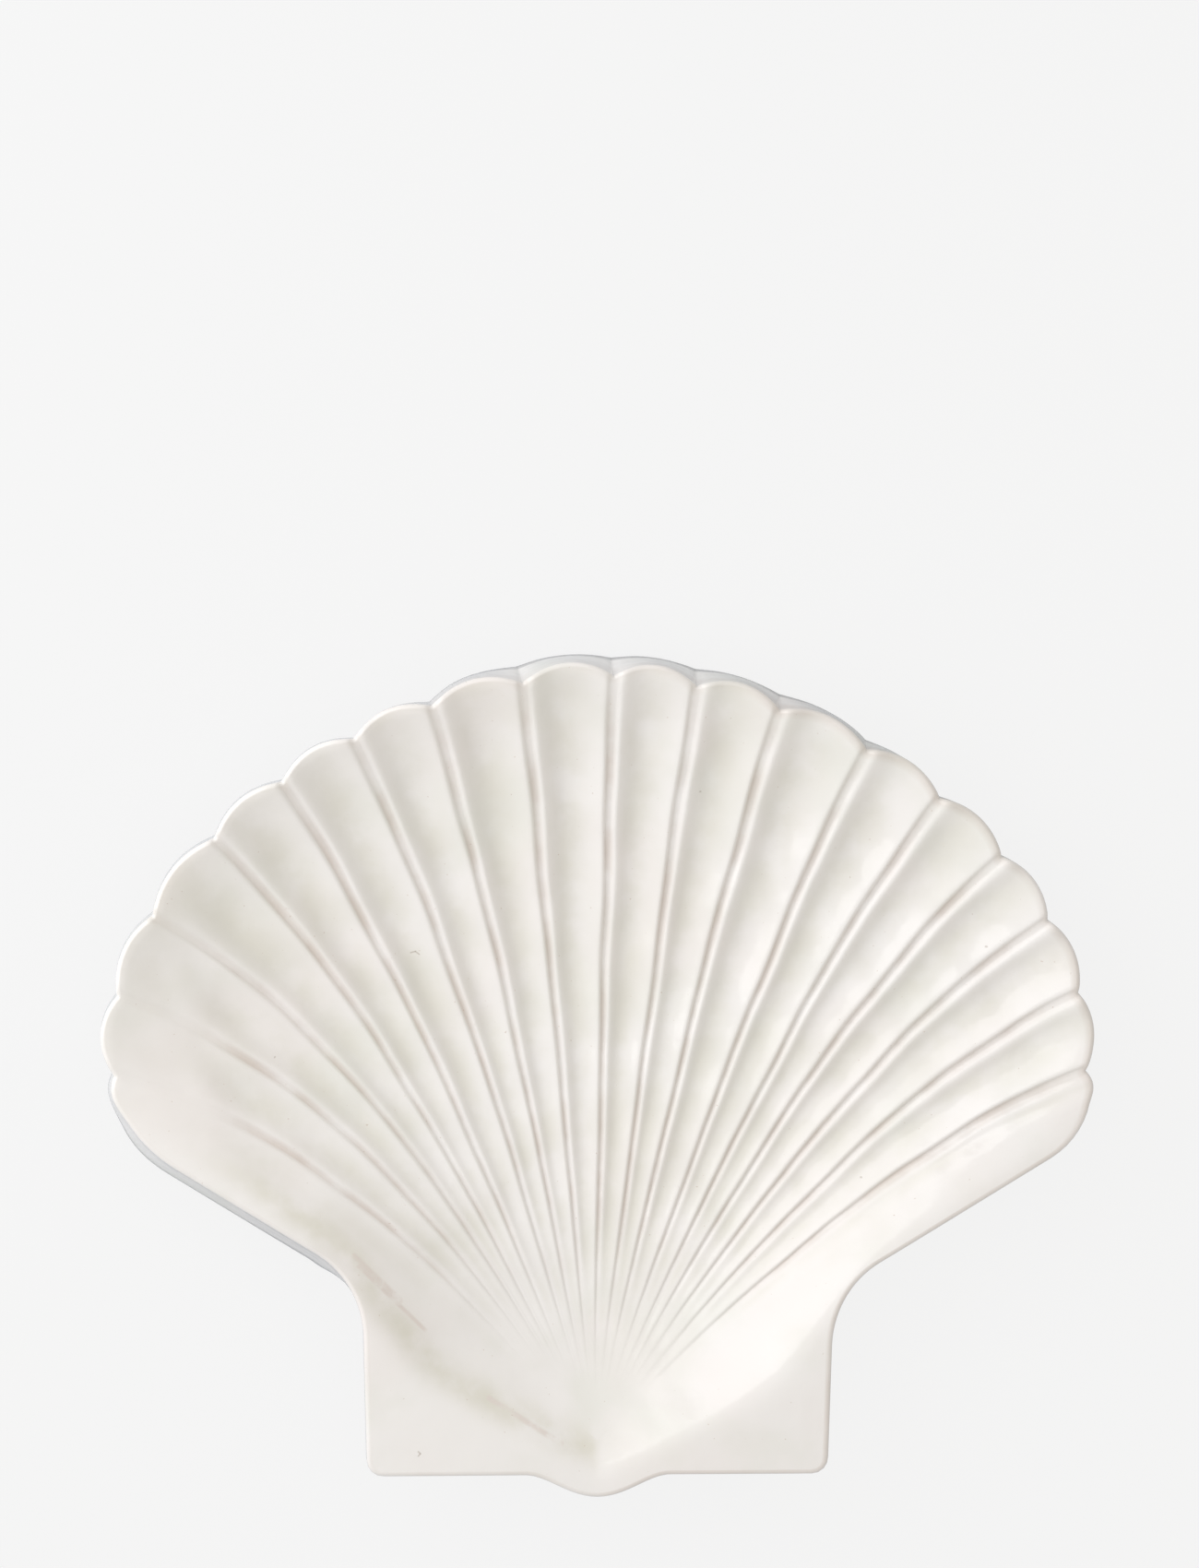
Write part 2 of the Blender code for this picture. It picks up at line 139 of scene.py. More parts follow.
RIBS_END_FROM = 0.90
RIBS_END_RUN = 0.10
RELIEF_AT_RIM = 0.62
WORN_FROM = 5.0
WORN_RUN = 3.0
WORN_EARLIER = 0.14
WORN_LOSS = 0.75
# Where the grooves' brown stain and painted crease shade lie: their offsets from the rib line on its left
# and right wall, the right one's share, and their width.
STAIN_SHADE_NEAR_AT = 0.0002
STAIN_SHADE_FAR_AT = 0.0008
STAIN_SHADE_FAR_SHARE = 0.5
STAIN_SHADE_WIDTH = 0.0006

FAN_END = (len(RIB_TIPS) + 1) // 2
RIB_NUMBERS = np.arange(-FAN_END, FAN_END + 1)
ROOTS = np.array([-FAN_END_ROOT, *RIB_ROOTS, FAN_END_ROOT])
TIPS = np.array([-FAN_END_TIP, *RIB_TIPS, FAN_END_TIP])
LEFT_MIDDLE_RIGHT = (-FAN_END, 0, FAN_END)


def ray_bearing(q, s):
    """Bearing of rib line q at share s of its length: its root, the swing to its tip times s squared,
    and the wobble of the carver's hand, two sines along s whose phases differ from rib to rib."""
    root = np.interp(q, RIB_NUMBERS, ROOTS)
    swing = np.interp(q, RIB_NUMBERS, TIPS) - root
    wobble = sum(size * np.sin(along * s + by_rib * q) for size, along, by_rib in RIB_WOBBLE_WAVES)
    return root + swing * s ** 2 + RIB_WOBBLE * wobble * s * (1.0 - s ** RIB_WOBBLE_END_POWER)


def flute_width(q, s, radius):
    """Arc between the two ribs beside q: the distance from the rib centre times their angle."""
    left = np.clip(np.floor(q), -FAN_END, FAN_END - 1)
    return radius * s * np.radians(ray_bearing(left + 1, s) - ray_bearing(left, s))


def lobes(q):
    """A parabola over each flute, 0 at its ribs and 1 half way, and 0 beyond the fan."""
    part = q - np.floor(q)
    return np.where(np.abs(q) < FAN_END, 1.0 - (2.0 * part - 1.0) ** 2, 0.0)


def lobe_size(q):
    """Bulge of the rim's lobes, less with each rib from the middle, and a power of a smooth step
    that fades it late in the last flute."""
    share = np.clip(np.abs(q) / FAN_END, 0.0, 1.0)
    fade = (1.0 - smooth_step(np.abs(q) - FAN_END + 1.0)) ** LOBE_END_FADE
    return LOBE_BULGE * (1.0 - (1.0 - LOBE_END_SHARE) * share) * fade


def relief(q, s, radius):
    """The carving as a height over the bowl, the stain and painted crease shade in its grooves, and
    where glaze gathers with painted shade.

    The flute is a parabola as deep as a share of its width, skewed towards the rib on its left,
    where a bell curve holds it back to leave a round ridge. The groove is a bell curve of the
    distance to the rib line, narrow on its left and wide on its right. Both fade in from the beak
    and fade out at the rim, sooner and further on the worn left wing. The stain, with painted crease
    shade, is a strong bell curve on the groove's left wall, which lies in shade, and a weak one on
    its right wall. Glaze gathers with the square of the flute's share of its depth, and its colour
    there is also painted shade.
    """
    width = flute_width(q, s, radius)
    part = q - np.floor(q)
    skew = 1.0 + FLUTE_SKEW * (1.0 - 2.0 * part)
    depth = FLUTE_DEPTH_RATIO * width * np.interp(q, LEFT_MIDDLE_RIGHT, FLUTE_SHARES)
    hollow = lobes(q) * skew * (1.0 - np.exp(-(part / FLUTE_START) ** 2))
    spread = GROOVE_TAPER + (1.0 - GROOVE_TAPER) * s
    near = (1.0 - part) * width / (GROOVE_NEAR_WIDTH * spread)
    far = part * width / (GROOVE_FAR_WIDTH * spread)
    groove = GROOVE_DEPTH * spread * np.maximum(np.exp(-near ** 2), np.exp(-far ** 2))
    start = np.interp(q, LEFT_MIDDLE_RIGHT, RIBS_START)
    fade_in = smooth_step((s * radius - start) / RIBS_START_RUN)
    worn = smooth_step((-q - WORN_FROM) / WORN_RUN)
    at_rim = RELIEF_AT_RIM * (1.0 - WORN_LOSS * worn)
    fade_out = 1.0 - (1.0 - at_rim) * smooth_step((s - RIBS_END_FROM + WORN_EARLIER * worn) / RIBS_END_RUN)
    ends = 1.0 - smooth_step(np.abs(q) - FAN_END + 1.0)
    shape = ends * fade_in * fade_out
    to_line = np.where(part < 0.5, part, part - 1.0) * width / spread
    # Brown stain with painted crease shade: strong on the groove's left wall, which lies in shade, and
    # weak on its right wall.
    near_stain_and_shade = np.exp(-((to_line + STAIN_SHADE_NEAR_AT) / STAIN_SHADE_WIDTH) ** 2)
    far_stain_and_shade = STAIN_SHADE_FAR_SHARE * np.exp(-((to_line - STAIN_SHADE_FAR_AT) / STAIN_SHADE_WIDTH) ** 2)
    stain_and_shade = (near_stain_and_shade + far_stain_and_shade) * ends * fade_in ** 2 * fade_out ** 2
    # The last grid is the flutes' gathered glaze, deepest on their left side, also painted shade there.
    return -(depth * hollow + groove) * shape, stain_and_shade, hollow ** 2 * shape


# Its bowl. The floor is almost flat and sweeps up to the scalloped rim. Along both sides of the
# fan it rises in a long slope, and the two slopes meet in a V at the beak. The ears lie level
# with the rim.
RIM_HEIGHT = 0.0340
FLOOR_HEIGHT = 0.0105
BOWL_SWEEP = 0.115
SCOOP_SHARE = 0.20
SCOOP_LENGTH = 0.012
SIDE_SLOPE_RUN = 0.060
SIDE_SLOPE_POWER = 3.0
SIDE_LIP = 0.0050
EDGE_ROUNDING = 0.0035
EAR_LINE_BEARING = 66.0
NECK_LINE_BEARING = 27.0
NECK_LINE_AT = (0.0710, 0.0550)
EDGE_BEND = 0.012
VALLEY_SHARPNESS = 3.0
LEAST_SHARE = 1e-4
BEAD_RISE = 0.30
BEAD_WIDTH = 0.0030
SWELL = 0.00012
SWELL_WAVES = ((230, 90, 1.0), (150, -210, 0.0), (70, 310, 2.0), (400, 260, 0.0))


def distance_to_line(x, y, foot, bearing):
    """Distance of points above a line that leaves a foot at a bearing."""
    slope = np.radians(bearing)
    return (y - foot[1]) * np.sin(slope) - (x - foot[0]) * np.cos(slope)


def edge_distance(x, y, side_foot):
    """Distance inside the bowl's edge on the side where x is positive.

    The edge follows the straight side less its lip, turns down at the neck, and follows the ear
    line to the beak: the smooth minimum of the ear line and the smooth maximum of the other two.
    A smooth extreme is half the sum, plus or minus half the root of the squared difference and bend.
    """
    side = distance_to_line(x, y, (0.0, side_foot), SIDE_BEARING) - SIDE_LIP
    neck = distance_to_line(x, y, NECK_LINE_AT, NECK_LINE_BEARING)
    ear = distance_to_line(x, y, (0.0, 0.0), EAR_LINE_BEARING)
    outer = (side + neck + np.sqrt((side - neck) ** 2 + EDGE_BEND ** 2)) / 2
    return (ear + outer - np.sqrt((ear - outer) ** 2 + EDGE_BEND ** 2)) / 2


def edge_distances(across, y):
    """Distances inside the bowl's left and right edge, one above the other."""
    return np.stack([edge_distance(-across, y, SIDE_FOOT_LEFT), edge_distance(across, y, SIDE_FOOT_RIGHT)])


def bowl_level(plan, grow=0.0):
    """Height of the plain bowl over a plan, with its walls moved out by grow.

    The depth is a product of two shares. One comes from the scalloped rim: one less a squared
    sweep and an exponential scoop. The other is the smooth minimum of the shares of both side
    slopes, a power mean whose valley is sharp at the beak and rounder away from it. A bead, its
    distance times an exponential of it, rounds the rim, and four sines swell the surface a little.
    """
    across = plan[..., 0]
    y = plan[..., 1]
    up = np.maximum(y - FAN_WIDEST_AT, 0.0)
    squares = (np.abs(across) / FAN_HALF_WIDTH) ** FAN_ROUNDNESS + (up / FAN_RISE) ** FAN_ROUNDNESS
    inside = np.maximum((1.0 - squares ** (1 / FAN_ROUNDNESS)) * FAN_RISE + grow, 0.0)
    sweep = np.clip(1.0 - inside / BOWL_SWEEP, 0.0, 1.0) ** 2
    rise = (1.0 - SCOOP_SHARE) * sweep + SCOOP_SHARE * np.exp(-inside / SCOOP_LENGTH)
    distance = edge_distances(across, y) + grow
    distance = (distance + np.sqrt(distance ** 2 + EDGE_ROUNDING ** 2)) / 2
    share = 1.0 - (1.0 - np.clip(distance / SIDE_SLOPE_RUN, LEAST_SHARE, 1.0)) ** SIDE_SLOPE_POWER
    valley = ((share ** -VALLEY_SHARPNESS).sum(axis=0) - 1.0) ** (-1.0 / VALLEY_SHARPNESS)
    bead = BEAD_RISE * inside * np.exp(-inside / BEAD_WIDTH) * valley
    swell = SWELL * sum(np.sin(by_x * across + by_y * y + at) for by_x, by_y, at in SWELL_WAVES) * valley
    return RIM_HEIGHT - (RIM_HEIGHT - FLOOR_HEIGHT) * (1.0 - rise) * valley + bead + swell


# Its rim, outer wall, underside and foot ring. The lip is rolled round, the wall under it stands
# steep with softer lobes, and the underside runs in to a low foot ring that was wiped clean of glaze.
WALL = 0.0055
LIP_RADIUS = 0.0014
WALL_DROP_TOP = 0.0175
WALL_DROP_WING = 0.0120
WALL_DROP_SIDE = 0.0190
WALL_DROP_EAR = 0.0066
WING_BEARING = 46.0
SIDE_DROP_RUN = 0.035
EAR_DROP_AT = 0.066
EAR_DROP_RUN = 0.014
WALL_SHOWS_FROM = -17.0
WALL_SHOWS_FROM_RUN = 13.0
WALL_SHOWS_TO = 15.0
WALL_SHOWS_TO_RUN = 14.0
WALL_LEAN_TOP = -0.07
WALL_LEAN_AWAY = 0.10
WALL_LEAN_WING = 0.0
WALL_LEAN_SIDES = (-0.24, -0.08)
WALL_LEAN_EAR = 0.0
WALL_LEAN_CHANGES_WITHIN = 0.02
WALL_LOBE_SHARE = 0.30
UNDER_SAG_POWER = 1.4
UNDER_GROW = 0.00275
FOOT_HALF_WIDTH = 0.082
FOOT_HALF_LENGTH = 0.068
FOOT_CENTRE_AT = 0.122
FOOT_HEIGHT = 0.0030
FOOT_LAND = 0.0050
FOOT_DRAFT = 0.0008
# The lip's brown mark on the left, where it is thin glaze; towards the right it grows as painted shade.
EDGE_STAIN_AND_SHADE_LEFT = 0.35
# The painted shade and reflection on the wall under the left ear: its distance in from the edge, width,
# end and run.
LEFT_WALL_SHADE_AT = 0.0048
LEFT_WALL_SHADE_WIDTH = 0.0042
LEFT_WALL_SHADE_END = 0.105
LEFT_WALL_SHADE_END_RUN = 0.0252
# The share of gathered glaze and painted shade in the flutes' hollows.
HOLLOW_SHARE = 0.62
POLE = np.array([0.0, 0.0100])
POLE_FADE_POWER = 3
SPOKE_START = 0.015
SPOKE_CROWDING = 0.9
FLUTE_CROWDING = 0.11
PAST_FAN = 0.001
FLUTE_CUTS = 26
SIDE_CUTS = 26
EAR_CUTS = 70
EAR_TURN_CUTS = 26
TOP_CUTS = 96
LIP_CUTS = 6
WALL_CUTS = 5
UNDER_CUTS = 12


def outward(loop):
    """Normals of a closed clockwise loop: the mean of the directions of the steps before and after
    each point, each weighted by the length of the other, turned a quarter left."""
    step = np.roll(loop, -1, axis=0) - loop
    length = np.hypot(*step.T)[:, None]
    along = step / length * np.roll(length, 1, axis=0) + np.roll(step / length, 1, axis=0) * length
    along = along / np.hypot(*along.T)[:, None]
    return np.stack([-along[:, 1], along[:, 0]], axis=1)


def half_stations(side_foot, wing_radius, numbers):
    """Places on one half of the plain outline: where the given rib numbers end, and those along the
    side, round the ear and to the tip of the beak, evenly spread over the length."""
    half, neck_at = half_outline(side_foot, wing_radius)
    length = np.concatenate([[0.0], np.cumsum(np.hypot(*np.diff(half, axis=0).T))])
    bearings = np.degrees(np.arctan2(half[:, 0], half[:, 1]))
    turn = np.argmax(bearings > FAN_END_TIP) + 1
    tips = np.abs(np.interp(numbers, RIB_NUMBERS, TIPS))
    reach = np.interp(tips, bearings[:turn], np.hypot(*half[:turn].T))
    fan = reach[:, None] * np.stack([np.sin(np.radians(tips)), np.cos(np.radians(tips))], axis=1)
    start = np.interp(FAN_END_TIP, bearings[:turn], length[:turn])
    keep = np.concatenate([np.linspace(start, length[neck_at], SIDE_CUTS + 1)[1:-1],
                           np.linspace(length[neck_at], length[-1], EAR_CUTS)])
    return fan, np.stack([np.interp(keep, length, part) for part in half.T], axis=1)


def rim_stations():
    """Rib number, straightness and plain place of every spoke's end, clockwise round the outline.

    In each flute the spokes crowd towards the ribs by a sine. Straightness is 0 in the fan and along
    its sides, and goes to 1 round the ear.
    """
    t = np.arange(FLUTE_CUTS) / FLUTE_CUTS
    step = t - FLUTE_CROWDING * np.sin(2 * np.pi * t)
    numbers = np.append((np.arange(-FAN_END, FAN_END)[:, None] + step).ravel(), FAN_END)
    on_left = np.interp(numbers, RIB_NUMBERS, TIPS) < 0
    left_fan, left = half_stations(SIDE_FOOT_LEFT, WING_RADIUS_LEFT, numbers[on_left])
    right_fan, right = half_stations(SIDE_FOOT_RIGHT, WING_RADIUS_RIGHT, numbers[~on_left])
    flip = np.array([-1.0, 1.0])
    left = left[::-1][1:]
    share = smooth_step((np.arange(1, len(right) + 1) - SIDE_CUTS) / EAR_TURN_CUTS)
    past = FAN_END + PAST_FAN
    number = np.concatenate([numbers, np.full(len(right), past), np.full(len(left), -past)])
    straight = np.concatenate([np.zeros(len(numbers)), share, share[::-1][1:]])
    return number, straight, np.concatenate([left_fan * flip, right_fan, right, left * flip])


def wall_blend(places, top, wing, side, ear):
    """One value round the wall, blended smoothly from the top of the fan to its wings by bearing, and
    then from the wings to the lower sides and to the ears by the distance up the dish."""
    bearing = np.degrees(np.arctan2(np.abs(places[:, 0]), places[:, 1]))
    value = top + (wing - top) * smooth_step(bearing / WING_BEARING)
    value = value + (side - value) * smooth_step((FAN_WIDEST_AT - places[:, 1]) / SIDE_DROP_RUN)
    return value + (ear - value) * smooth_step((EAR_DROP_AT - places[:, 1]) / EAR_DROP_RUN)


def wall_shows(places):
    """1 at the top of the fan, where the wall stands out past the rim, and 0 to both sides of it:
    a smooth step up times a smooth step down over the bearing."""
    bearing = np.degrees(np.arctan2(places[:, 0], places[:, 1]))
    up = smooth_step((bearing - WALL_SHOWS_FROM) / WALL_SHOWS_FROM_RUN)
    return up * (1.0 - smooth_step((bearing - WALL_SHOWS_TO) / WALL_SHOWS_TO_RUN))


def raised(plan, height):
    """Points in space from their plan and their height."""
    return np.concatenate([plan, height[..., None]], axis=-1)


def bowl_rows(number, straight, inner):
    """The top side from near the pole to the lip, with the stain and painted crease shade, and the
    gathered glaze and painted shade, of its carving.

    A spoke runs at the bearing of its rib line, and its end is drawn to its place at the rim by
    share s squared. It starts at the pole, whose lift fades with a power of one less s. Round the
    ears the spoke is the straight run from the pole to the rim instead.
    """
    s = (np.linspace(SPOKE_START, 1.0, TOP_CUTS) ** SPOKE_CROWDING)[:, None]
    reach = np.hypot(*inner.T)
    swing = np.degrees(np.arctan2(inner[:, 0], inner[:, 1])) - ray_bearing(number, 1.0)
    heading = np.radians(ray_bearing(number, s) + swing * s ** 2)
    curved = (s * reach)[..., None] * np.stack([np.sin(heading), np.cos(heading)], axis=-1)
    curved = curved + POLE * ((1.0 - s) ** POLE_FADE_POWER)[..., None]
    direct = POLE + (inner - POLE) * s[..., None]
    plan = curved + (direct - curved) * straight[:, None]
    in_fan = np.abs(number) <= FAN_END
    carving, stain_and_shade, hollow = (np.where(in_fan, part, 0.0) for part in relief(number, s, reach))
    return raised(plan, bowl_level(plan) + carving), stain_and_shade, hollow


def lip_rows(inner, normals, edge):
    """The rolled lip: a quarter circle that leaves the edge of the bowl level and ends upright."""
    angle = np.radians(np.linspace(90.0 / LIP_CUTS, 90.0, LIP_CUTS))[:, None]
    plan = inner + LIP_RADIUS * np.sin(angle)[..., None] * normals
    return raised(plan, edge - LIP_RADIUS * (1.0 - np.cos(angle)))


def wall_rows(plain, plain_out, outline, soft, edge):
    """The outer wall: from the lip's outline to the soft outline as it goes down its drop, and
    slid in by its lean times the drop."""
    drop = wall_blend(plain, WALL_DROP_TOP, WALL_DROP_WING, WALL_DROP_SIDE, WALL_DROP_EAR)
    lean_top = WALL_LEAN_AWAY + (WALL_LEAN_TOP - WALL_LEAN_AWAY) * wall_shows(plain)
    change = (-WALL_LEAN_CHANGES_WITHIN, WALL_LEAN_CHANGES_WITHIN)
    lean_side = np.interp(plain[:, 0], change, WALL_LEAN_SIDES)
    lean = wall_blend(plain, lean_top, WALL_LEAN_WING, lean_side, WALL_LEAN_EAR)
    share = np.linspace(1.0 / WALL_CUTS, 1.0, WALL_CUTS)[:, None]
    slide = (lean * drop * share)[..., None]
    plan = outline + (soft - outline) * share[..., None] - plain_out * slide
    return raised(plan, edge - LIP_RADIUS - (drop - LIP_RADIUS) * share)


def under_rows(wall_foot, foot):
    """The underside: straight in from the wall's foot to the ellipse of the foot ring. Its height is
    the lower of a sag, by a power of the share, and of the bowl grown by half a wall, less a wall."""
    share = np.linspace(0.0, 1.0, UNDER_CUTS + 1)[1:, None]
    plan = wall_foot[:, :2] + (foot - wall_foot[:, :2]) * share[..., None]
    sag = wall_foot[:, 2] + (FOOT_HEIGHT - wall_foot[:, 2]) * share ** UNDER_SAG_POWER
    return raised(plan, np.minimum(sag, bowl_level(plan, UNDER_GROW) - WALL))


def ring_rows(foot):
    """The foot ring: set in from its ellipse along the normals by the draft, by the land it stands
    on, and by the draft again on the way up."""
    insets = np.array([FOOT_DRAFT, FOOT_DRAFT + FOOT_LAND, 2 * FOOT_DRAFT + FOOT_LAND])
    heights = np.array([0.0, 0.0, FOOT_HEIGHT])
    plan = foot - insets[:, None, None] * outward(foot)
    return raised(plan, heights[:, None] + np.zeros(len(foot)))


def glaze_masks(rows, plain, stain_and_shade, hollow):
    """Where the colour changes, one grid each: the stain and painted crease shade in the grooves, the
    thin glaze and painted shade round the lip, the pooled glaze and painted shade, and the bare land
    of the foot ring.

    The lip's mark grows to the right by a smooth step, as painted shade on the side away from the
    window. Painted shade and reflection lie on the wall under the edge of the left ear, by a bell
    curve of the distance to the edge, and glaze gathers in the flutes, darkened there as painted shade.
    """
    groove, edge, pool_and_shade, land = np.zeros((4, *rows.shape[:2]))
    groove[:TOP_CUTS] = stain_and_shade
    to_right = smooth_step(0.5 + plain[:, 0] / FAN_HALF_WIDTH)
    lip_and_next = slice(TOP_CUTS - 1, TOP_CUTS + LIP_CUTS + 1)
    # Brown of thin glaze at the lip, with painted shade that grows towards the right, away from the
    # window.
    edge[lip_and_next] = EDGE_STAIN_AND_SHADE_LEFT + (1.0 - EDGE_STAIN_AND_SHADE_LEFT) * to_right
    across, away = rows[:TOP_CUTS, :, 0], rows[:TOP_CUTS, :, 1]
    inside = edge_distances(across, away).min(axis=0)
    # Painted shade and reflection on the wall under the left ear, kept to the left half.
    left_wall_shade = np.exp(-((inside - LEFT_WALL_SHADE_AT) / LEFT_WALL_SHADE_WIDTH) ** 2) * smooth_step(0.5 - across / LEFT_WALL_SHADE_WIDTH)
    left_wall_shade = left_wall_shade * smooth_step((LEFT_WALL_SHADE_END - away) / LEFT_WALL_SHADE_END_RUN)
    # Glaze gathered in the flutes, deepest on their left side, and darker there as painted shade.
    pool_and_shade[:TOP_CUTS] = np.maximum(left_wall_shade, HOLLOW_SHARE * hollow)
    land[-3:-1] = 1.0
    return {"groove": groove, "edge": edge, "pool_and_shade": pool_and_shade, "land": land}


def dish_surface():
    """The whole skin as a grid of rows and spokes, with its tip, its centre and the glaze's masks.

    The outline is the plain one pushed out by the size of the lobes times their parabola less its
    mean. The soft outline under it keeps the lobes' crests, and where the wall shows it fills out
    the notches between them. The bowl ends a lip's radius inside the outline.
    """
    number, straight, plain = rim_stations()
    plain_out = outward(plain)
    size = (lobe_size(number) * (np.abs(number) <= FAN_END))[:, None]
    scallop = lobes(number)[:, None]
    outline = plain + plain_out * size * (scallop - LOBE_MEAN)
    lobe_share = (1.0 + (WALL_LOBE_SHARE - 1.0) * wall_shows(plain))[:, None]
    soft = plain + plain_out * size * (1.0 - LOBE_MEAN + lobe_share * (scallop - 1.0))
    normals = outward(outline)
    inner = outline - LIP_RADIUS * normals
    top, stain_and_shade, hollow = bowl_rows(number, straight, inner)
    edge = top[-1, :, 2]
    wall = wall_rows(plain, plain_out, outline, soft, edge)
    turn = np.arctan2(wall[-1, :, 0], wall[-1, :, 1] - FOOT_CENTRE_AT)
    foot = np.stack([FOOT_HALF_WIDTH * np.sin(turn),
                     FOOT_CENTRE_AT + FOOT_HALF_LENGTH * np.cos(turn)], axis=1)
    rows = np.concatenate([top, lip_rows(inner, normals, edge), wall,
                           under_rows(wall[-1], foot), ring_rows(foot)])
    tip = np.array([*POLE, bowl_level(POLE[None])[0]])
    centre = np.array([0.0, FOOT_CENTRE_AT, FOOT_HEIGHT])
    return rows, tip, centre, glaze_masks(rows, plain, stain_and_shade, hollow)


rows, tip, centre, masks = dish_surface()
row_count, spoke_count = rows.shape[:2]
points = np.concatenate([rows.reshape(-1, 3), tip[None], centre[None]])
middle = (points[:, :2].min(axis=0) + points[:, :2].max(axis=0)) / 2
points[:, :2] -= middle
spokes = np.arange(spoke_count)
following = (spokes + 1) % spoke_count
upper = (np.arange(row_count - 1) * spoke_count)[:, None]
quads = np.stack([upper + spokes, upper + following,
                  upper + following + spoke_count, upper + spokes + spoke_count], axis=-1).reshape(-1, 4)
last = (row_count - 1) * spoke_count
tip_fan = np.stack([np.full(spoke_count, len(points) - 2), following, spokes], axis=1)
base_fan = np.stack([np.full(spoke_count, len(points) - 1), last + spokes, last + following], axis=1)
dish_mesh = bpy.data.meshes.new("dish")
dish_mesh.from_pydata(points, [], quads.tolist() + tip_fan.tolist() + base_fan.tolist())
dish_mesh.shade_smooth()
dish = bpy.data.objects.new("dish", dish_mesh)
bpy.context.scene.collection.objects.link(dish)

for name, mask in masks.items():
    layer = dish_mesh.attributes.new(name, "FLOAT", "POINT")
    layer.data.foreach_set("value", np.append(mask.ravel(), [0.0, 0.0]))


# Its glaze: a warm white gloss, greener where it lies thick and pinker where it is thin, with a
# few specks. Brown stain and painted crease shade line the grooves, and the lip is brown where the
# glaze ran thin, with painted shade that grows to the right. Pooled glaze and painted shade darken
# the flutes' hollows, and painted shade and reflection darken the wall under the left ear, with a
# few painted shade streaks. The foot's land is bare clay.
WHITE = (0.890, 0.865, 0.845, 1.0)
THICK = (0.800, 0.797, 0.735, 1.0)
THIN = (0.880, 0.830, 0.805, 1.0)
# brown of stain, specks and thin glaze, and of the painted crease and edge shade
STAIN_AND_SHADE_BROWN = (0.560, 0.440, 0.360, 1.0)
# green-grey of pooled glaze and of painted shade
POOL_AND_SHADE_GREEN = (0.760, 0.735, 0.655, 1.0)
BARE = (0.760, 0.690, 0.600, 1.0)
SPECK = (0.300, 0.220, 0.160, 1.0)
# the colour of the painted shade and reflection streaks under the left ear
SHADE_STREAK = (0.760, 0.690, 0.645, 1.0)

# From the ground up: a tint, the mask it keeps to, its patches as the scale, detail, low and high
# of a noise, and its strength.
COATS = ((THICK, None, (34.0, 3.0, 0.44, 0.68), 0.55),
         (THIN, None, (21.0, 2.0, 0.45, 0.66), 0.45),
         # pooled glaze and painted shade in the flutes, and painted shade and reflection under the left
         # ear
         (POOL_AND_SHADE_GREEN, "pool_and_shade", (62.0, 5.0, 0.30, 0.66), 1.0),
         # brown stain and painted crease shade in the grooves
         (STAIN_AND_SHADE_BROWN, "groove", (70.0, 3.0, 0.25, 0.70), 0.42),
         # brown of thin glaze on the lip, with painted shade that grows to the right
         (STAIN_AND_SHADE_BROWN, "edge", (45.0, 4.0, 0.10, 0.62), 0.26),
         (STAIN_AND_SHADE_BROWN, None, (1150.0, 0.0, 0.85, 0.90), 0.5))

# Painted shade and reflection streaks on the steep wall under the left ear, and small specks, each
# a straight mark from one place to another with a half width.
SHADE_STREAKS = ((-0.0727, 0.0638, -0.0522, 0.0434, 0.0009), (-0.0740, 0.0668, -0.0600, 0.0528, 0.0013),
           (-0.0330, 0.0230, -0.0110, 0.0092, 0.0012))
SHADE_STREAK_PATCHES = (210.0, 3.0, 0.30, 0.60)
SHADE_STREAK_STRENGTH = 0.85
SPECKS = ((-0.0566, 0.1573, -0.0552, 0.1577, 0.00035), (-0.0552, 0.1577, -0.0540, 0.1568, 0.00035),
          (-0.0546, 0.0077, -0.0540, 0.0071, 0.00040), (-0.0540, 0.0071, -0.0546, 0.0064, 0.00035),
          (0.1180, 0.1602, 0.1183, 0.1602, 0.00050), (0.0808, 0.0890, 0.0810, 0.0890, 0.00045),
          (0.0310, 0.2070, 0.0312, 0.2070, 0.00040), (-0.0980, 0.1260, -0.0979, 0.1262, 0.00035))
SPECK_STRENGTH = 0.40
MARK_CORE = 0.2
GLOSS_PATCHES = (35.0, 3.0, 0.30, 0.70)
GLOSSIEST = 0.11
DULLEST = 0.20
BARE_ROUGHER = 0.6
RIPPLE_PATCHES = (95.0, 2.0, 0.20, 0.80)
RIPPLE_STRENGTH = 0.5
RIPPLE_HEIGHT = 0.00025

glaze = bpy.data.materials.new("white_glaze")
glaze.use_nodes = True
nodes, links = glaze.node_tree.nodes, glaze.node_tree.links
shader = nodes["Principled BSDF"]
place = nodes.new("ShaderNodeTexCoord").outputs["Object"]


def stretch(value, low, high, to_low, to_high):
    """A value of the range low to high as one of the range to_low to to_high, by a smooth step."""
    reach = nodes.new("ShaderNodeMapRange")
    reach.interpolation_type = "SMOOTHSTEP"
    reach.inputs["From Min"].default_value = low
    reach.inputs["From Max"].default_value = high
    reach.inputs["To Min"].default_value = to_low
    reach.inputs["To Max"].default_value = to_high
    links.new(value, reach.inputs["Value"])
    return reach.outputs["Result"]


def noise(scale, detail, low, high):
    """Noise over the piece, stretched from the range low to high on to 0 to 1."""
    texture = nodes.new("ShaderNodeTexNoise")
    texture.inputs["Scale"].default_value = scale
    texture.inputs["Detail"].default_value = detail
    links.new(place, texture.inputs["Vector"])
    return stretch(texture.outputs["Fac"], low, high, 0.0, 1.0)


def mask_of(name):
    """A mask of the mesh by its name."""
    layer = nodes.new("ShaderNodeAttribute")
    layer.attribute_name = name
    return layer.outputs["Fac"]


